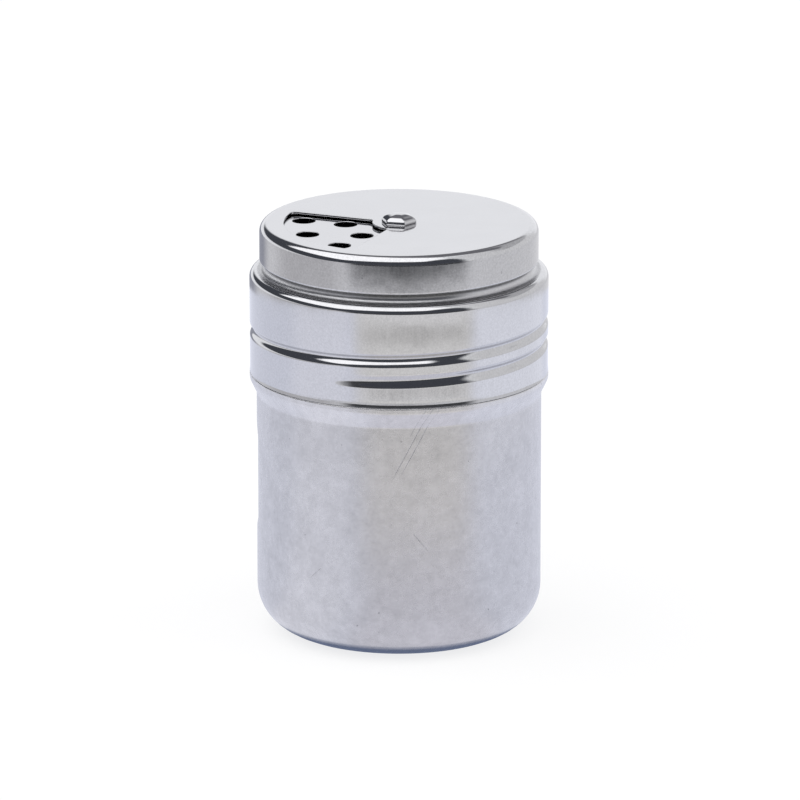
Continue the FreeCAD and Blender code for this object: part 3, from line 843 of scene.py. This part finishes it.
class SHAKER_OT_rivet(bpy.types.Operator):
    """Build the faceted rivet"""
    bl_idname = "shaker.rivet"
    bl_label = "Rivet"

    def execute(self, context):
        settings = context.scene.shaker
        form = settings.rivet
        top, bottom = RIVET_HIGH.z, RIVET_LOW.z
        under = top - form.height
        tail_top = WASHER_LOW.z
        azimuth = np.arange(RIVET_COUNT) * FULL_TURN / RIVET_COUNT
        facet = FULL_TURN / HEAD_SIDES
        swing = np.mod(azimuth - form.azimuth, facet) - facet / 2
        side = np.minimum(form.head * math.cos(facet / 2) / np.cos(swing), form.head - form.worn)
        # Rings that fans close on top of the dome and under the tail
        crown, pole = 0.25 * MM, form.tail / 6
        tail_edge, tail_round = 0.1 * MM, 0.7 * MM

        def ring(radius, height):
            across, along = radius * np.cos(azimuth), radius * np.sin(azimuth)
            return np.stack(np.broadcast_arrays(across, along, height), axis=-1)

        rows = []
        for bend in np.linspace(0, QUARTER, DOME_COUNT):
            radius = crown + (side - crown) * math.sin(bend)
            rows.append(ring(radius, under + form.side + (form.height - form.side) * math.cos(bend)))
        rows.append(ring(side, under))
        for radius, height in rounded([
            (form.shank, under, 0),
            (form.shank, tail_top, 0),
            (form.tail, tail_top, tail_edge),
            (form.tail, bottom, tail_round),
            (pole, bottom, 0),
        ]):
            rows.append(ring(radius, height))
        mesh = SheetMesh()
        mesh.grid(rows)
        rivet = mesh.piece("rivet", poles=(top, bottom))
        finish = settings.finish
        steel = turned_steel("RivetSteel", finish.dial_tint, finish.dial_rough, streaks=0.05)
        dress(rivet, steel, "lid", "steel_rivet", "pivot_rivet")
        return {"FINISHED"}


class SHAKER_OT_inside(bpy.types.Operator):
    """Finish the seal, the spacer and the washer inside the lid"""
    bl_idname = "shaker.inside"
    bl_label = "Seal, spacer and washer"

    def execute(self, context):
        finish = context.scene.shaker.finish
        finishes = {
            "lid_seal": soft_material("Silicone", finish.seal_tint, roughness=0.55, scale=1800.0),
            "dial_spacer": soft_material("WhitePlastic", finish.spacer_tint, roughness=0.45, scale=2600.0),
            "rivet_washer": turned_steel("WasherSteel", finish.lid_tint, finish.lid_rough, streaks=0.05),
        }
        for node, material in finishes.items():
            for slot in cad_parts[node].material_slots:
                slot.material = material
        return {"FINISHED"}


# Stage

# Width of the camera's sensor in millimetres, and how near and far it sees in metres
SENSOR_WIDTH = 36.0
NEAREST = 0.01
FARTHEST = 100.0
# Points round the floor, and how far it lies under the cup
FLOOR_COUNT = 96
FLOOR_GAP = 0.05 * MM


def studio_world(scene):
    """Soft white light, a bright box overhead, a dark card in front, grey ones to the right and behind."""
    world = bpy.data.worlds.new("Studio")
    scene.world = world
    world.use_nodes = True
    nodes = Nodes(world.node_tree)
    direction = nodes.add("ShaderNodeTexCoord", output="Generated")
    turn, _, up = nodes.bearing(direction)
    lift = up.maths("ARCSINE", up) * math.degrees(1)
    # Where a direction meets a ceiling one unit up, to the right of the axis and towards the camera
    parts = nodes.add("ShaderNodeSeparateXYZ", {}, {"Vector": direction})
    least_rise = 0.1
    above = up.maths("MAXIMUM", up, least_rise)
    aside = parts.at("X") / above
    nearer = parts.at("Y") / above * -1.0
    box = (nodes.between(aside, -1.28, 0.48, 0.10) * nodes.between(nearer, -0.78, 1.03, 0.10)
           * nodes.step(nearer - aside * 1.2, -0.46, -0.26) * nodes.step(lift, 24.0, 34.0))
    # Cards stand between bearings and between heights above the horizon, both in degrees
    behind = nodes.step(abs(turn), 108.0, 124.0)
    back_glow = nodes.between(lift, -8.0, 22.0, 4.0) * behind
    back_dark = nodes.step(lift, 23.0, 28.0) * behind
    right_card = nodes.between(turn, 62.0, 152.0, 8.0) * nodes.between(lift, -4.0, 60.0, 4.0)
    right_strip = nodes.between(turn, 104.0, 160.0, 10.0) * nodes.between(lift, 25.0, 43.0, 2.0)
    card_foot = nodes.step(turn, -125.0, -55.0, 11.0, -3.0)
    dark_card = (nodes.between(turn, -168.0, 56.0, 5.0) * nodes.step(lift - card_foot, -2.0, 2.0)
                 * nodes.step(lift, 46.0, 54.0, 1.0, 0.0))
    light = rgba(0.97, 0.98, 1.0)
    layers = (
        (back_glow, rgba(1.055, 1.065, 1.10)),
        (right_card, rgba(0.83, 0.83, 0.85)),
        (back_dark, rgba(0.20, 0.20, 0.22)),
        (right_strip, rgba(0.55, 0.55, 0.57)),
        (dark_card, rgba(0.07, 0.075, 0.09)),
        (box, rgba(1.55, 1.55, 1.58)),
    )
    for mask, colour in layers:
        light = nodes.blend(mask, light, colour)
    camera_ray = nodes.add("ShaderNodeLightPath", output="Is Camera Ray")
    seen = nodes.blend(camera_ray, light, WHITE)
    sky = nodes.add("ShaderNodeBackground", {}, {"Color": seen, "Strength": 1.0})
    nodes.add("ShaderNodeOutputWorld", {}, {"Surface": sky})


def floor_material():
    """A pale floor that keeps the object's shadow; reflections see it glow with painted light and shade."""
    material, nodes = new_material("PaleFloor")
    place = nodes.add("ShaderNodeTexCoord", output="Object")
    turn, distance, _ = nodes.bearing(place)
    # The wall mirrors a bearing halfway round to it, and reach is how far the floor there lies from the wall
    wall_radius = 31 * MM
    reach = distance - turn.maths("COSINE", turn * math.radians(0.5)) * wall_radius

    def beyond(start, end):
        return nodes.step(reach, start * MM, end * MM)

    left = nodes.between(turn, -84.0, -34.0, 12.0)
    ahead = nodes.between(turn, -25.0, 52.0, 13.0)
    right = nodes.between(turn, 56.0, 140.0, 8.0)
    far = beyond(282, 287)
    dark_stripe = nodes.between(reach, 255 * MM, 270 * MM, 5 * MM)
    far_left = nodes.between(turn, -112.0, -50.0, 12.0)
    back_left = nodes.step(turn, -150.0, -128.0, 1.0, 0.0)
    dark_start = abs(turn - 5.0) * (0.6 * MM) + 287.3 * MM
    dark_end = 335.9 * MM
    dark_floor = nodes.step(reach, dark_start, dark_end) * nodes.between(turn, -40.0, 56.0, 8.0)
    # Painted shadow: the glow that the steel mirrors is dark right under the cup, where the cup's shadow lies
    painted_shadow_under_cup = nodes.step(distance, 26.2 * MM, 28.5 * MM, 1.0, 0.0)
    light = rgba(0.85, 0.875, 0.995)
    layers = (
        (left, rgba(0.94, 0.955, 1.06)),
        (ahead, rgba(0.80, 0.80, 0.89)),
        (ahead * beyond(70, 120), rgba(0.93, 0.905, 0.895)),
        (ahead * beyond(183, 190), rgba(1.08, 1.08, 1.10)),
        (ahead * beyond(204, 206.5), rgba(0.70, 0.69, 0.695)),
        (ahead * beyond(214, 228), rgba(0.92, 0.91, 0.905)),
        (right * beyond(190, 200), rgba(1.0, 1.02, 1.12)),
        (ahead * dark_stripe, rgba(0.60, 0.59, 0.585)),
        (ahead * beyond(269, 274), rgba(1.0, 0.99, 1.0)),
        (far, rgba(0.78, 0.78, 0.81)),
        (far * far_left, rgba(0.61, 0.605, 0.63)),
        (far * back_left, rgba(0.35, 0.36, 0.42)),
        (dark_floor, rgba(0.07, 0.072, 0.078)),
        (painted_shadow_under_cup, rgba(0.16, 0.20, 0.32)),
    )
    for mask, colour in layers:
        light = nodes.blend(mask, light, colour)
    lit = nodes.add("ShaderNodeBsdfDiffuse", {}, {"Color": rgba(0.27, 0.27, 0.27)})
    glow = nodes.add("ShaderNodeEmission", {}, {"Color": WHITE, "Strength": 0.80})
    seen = nodes.add("ShaderNodeAddShader", {}, {0: lit, 1: glow})
    mirrored = nodes.add("ShaderNodeEmission", {}, {"Color": light, "Strength": 1.0})
    glossy_ray = nodes.add("ShaderNodeLightPath", output="Is Glossy Ray")
    both = nodes.add("ShaderNodeMixShader", {}, {0: glossy_ray, 1: seen, 2: mirrored})
    nodes.add("ShaderNodeOutputMaterial", {}, {"Surface": both})
    return material


class SHAKER_OT_stage(bpy.types.Operator):
    """Set up the camera, the pale floor and the studio light"""
    bl_idname = "shaker.stage"
    bl_label = "Stage"

    def execute(self, context):
        form = context.scene.shaker.stage
        lens = bpy.data.cameras.new("Camera")
        lens.lens = form.lens
        lens.sensor_width = SENSOR_WIDTH
        lens.clip_start = NEAREST
        lens.clip_end = FARTHEST
        camera = bpy.data.objects.new("Camera", lens)
        camera.location = (form.aside, -form.distance, form.height)
        gaze = Vector((form.aside, 0, form.aim)) - camera.location
        camera.rotation_euler = gaze.to_track_quat("-Z", "Y").to_euler()
        context.collection.objects.link(camera)
        context.scene.camera = camera
        context.scene.view_settings.view_transform = "Standard"
        studio_world(context.scene)
        work = bmesh.new()
        bmesh.ops.create_circle(work, cap_ends=True, segments=FLOOR_COUNT, radius=form.floor)
        mesh = bpy.data.meshes.new("floor")
        work.to_mesh(mesh)
        work.free()
        floor = bpy.data.objects.new("floor", mesh)
        floor.location.z = CUP_LOW.z - FLOOR_GAP
        floor.data.materials.append(floor_material())
        context.collection.objects.link(floor)
        return {"FINISHED"}


class SHAKER_PT_panel(bpy.types.Panel):
    """Lists the shaker's pieces in the sidebar"""
    bl_label = "Spice shaker"
    bl_space_type = "VIEW_3D"
    bl_region_type = "UI"
    bl_category = "Shaker"

    def draw(self, context):
        for operator in OPERATORS:
            self.layout.operator(operator.bl_idname)


OPERATORS = (SHAKER_OT_stage, SHAKER_OT_cup, SHAKER_OT_lid, SHAKER_OT_dial, SHAKER_OT_rivet, SHAKER_OT_inside)
CLASSES = (ShakerCup, ShakerThread, ShakerLid, ShakerDial, ShakerRivet, ShakerFinish, ShakerStage,
           ShakerSettings, *OPERATORS, SHAKER_PT_panel)


def register():
    """Registers the classes and the scene's settings."""
    for item in CLASSES:
        bpy.utils.register_class(item)
    bpy.types.Scene.shaker = bpy.props.PointerProperty(type=ShakerSettings)


def unregister():
    """Takes the classes and the settings away again."""
    del bpy.types.Scene.shaker
    for item in reversed(CLASSES):
        bpy.utils.unregister_class(item)


def main():
    """Builds the stage and every piece."""
    register()
    bpy.ops.shaker.stage()
    bpy.ops.shaker.cup()
    bpy.ops.shaker.lid()
    bpy.ops.shaker.dial()
    bpy.ops.shaker.rivet()
    bpy.ops.shaker.inside()


if __name__ == "__main__":
    main()
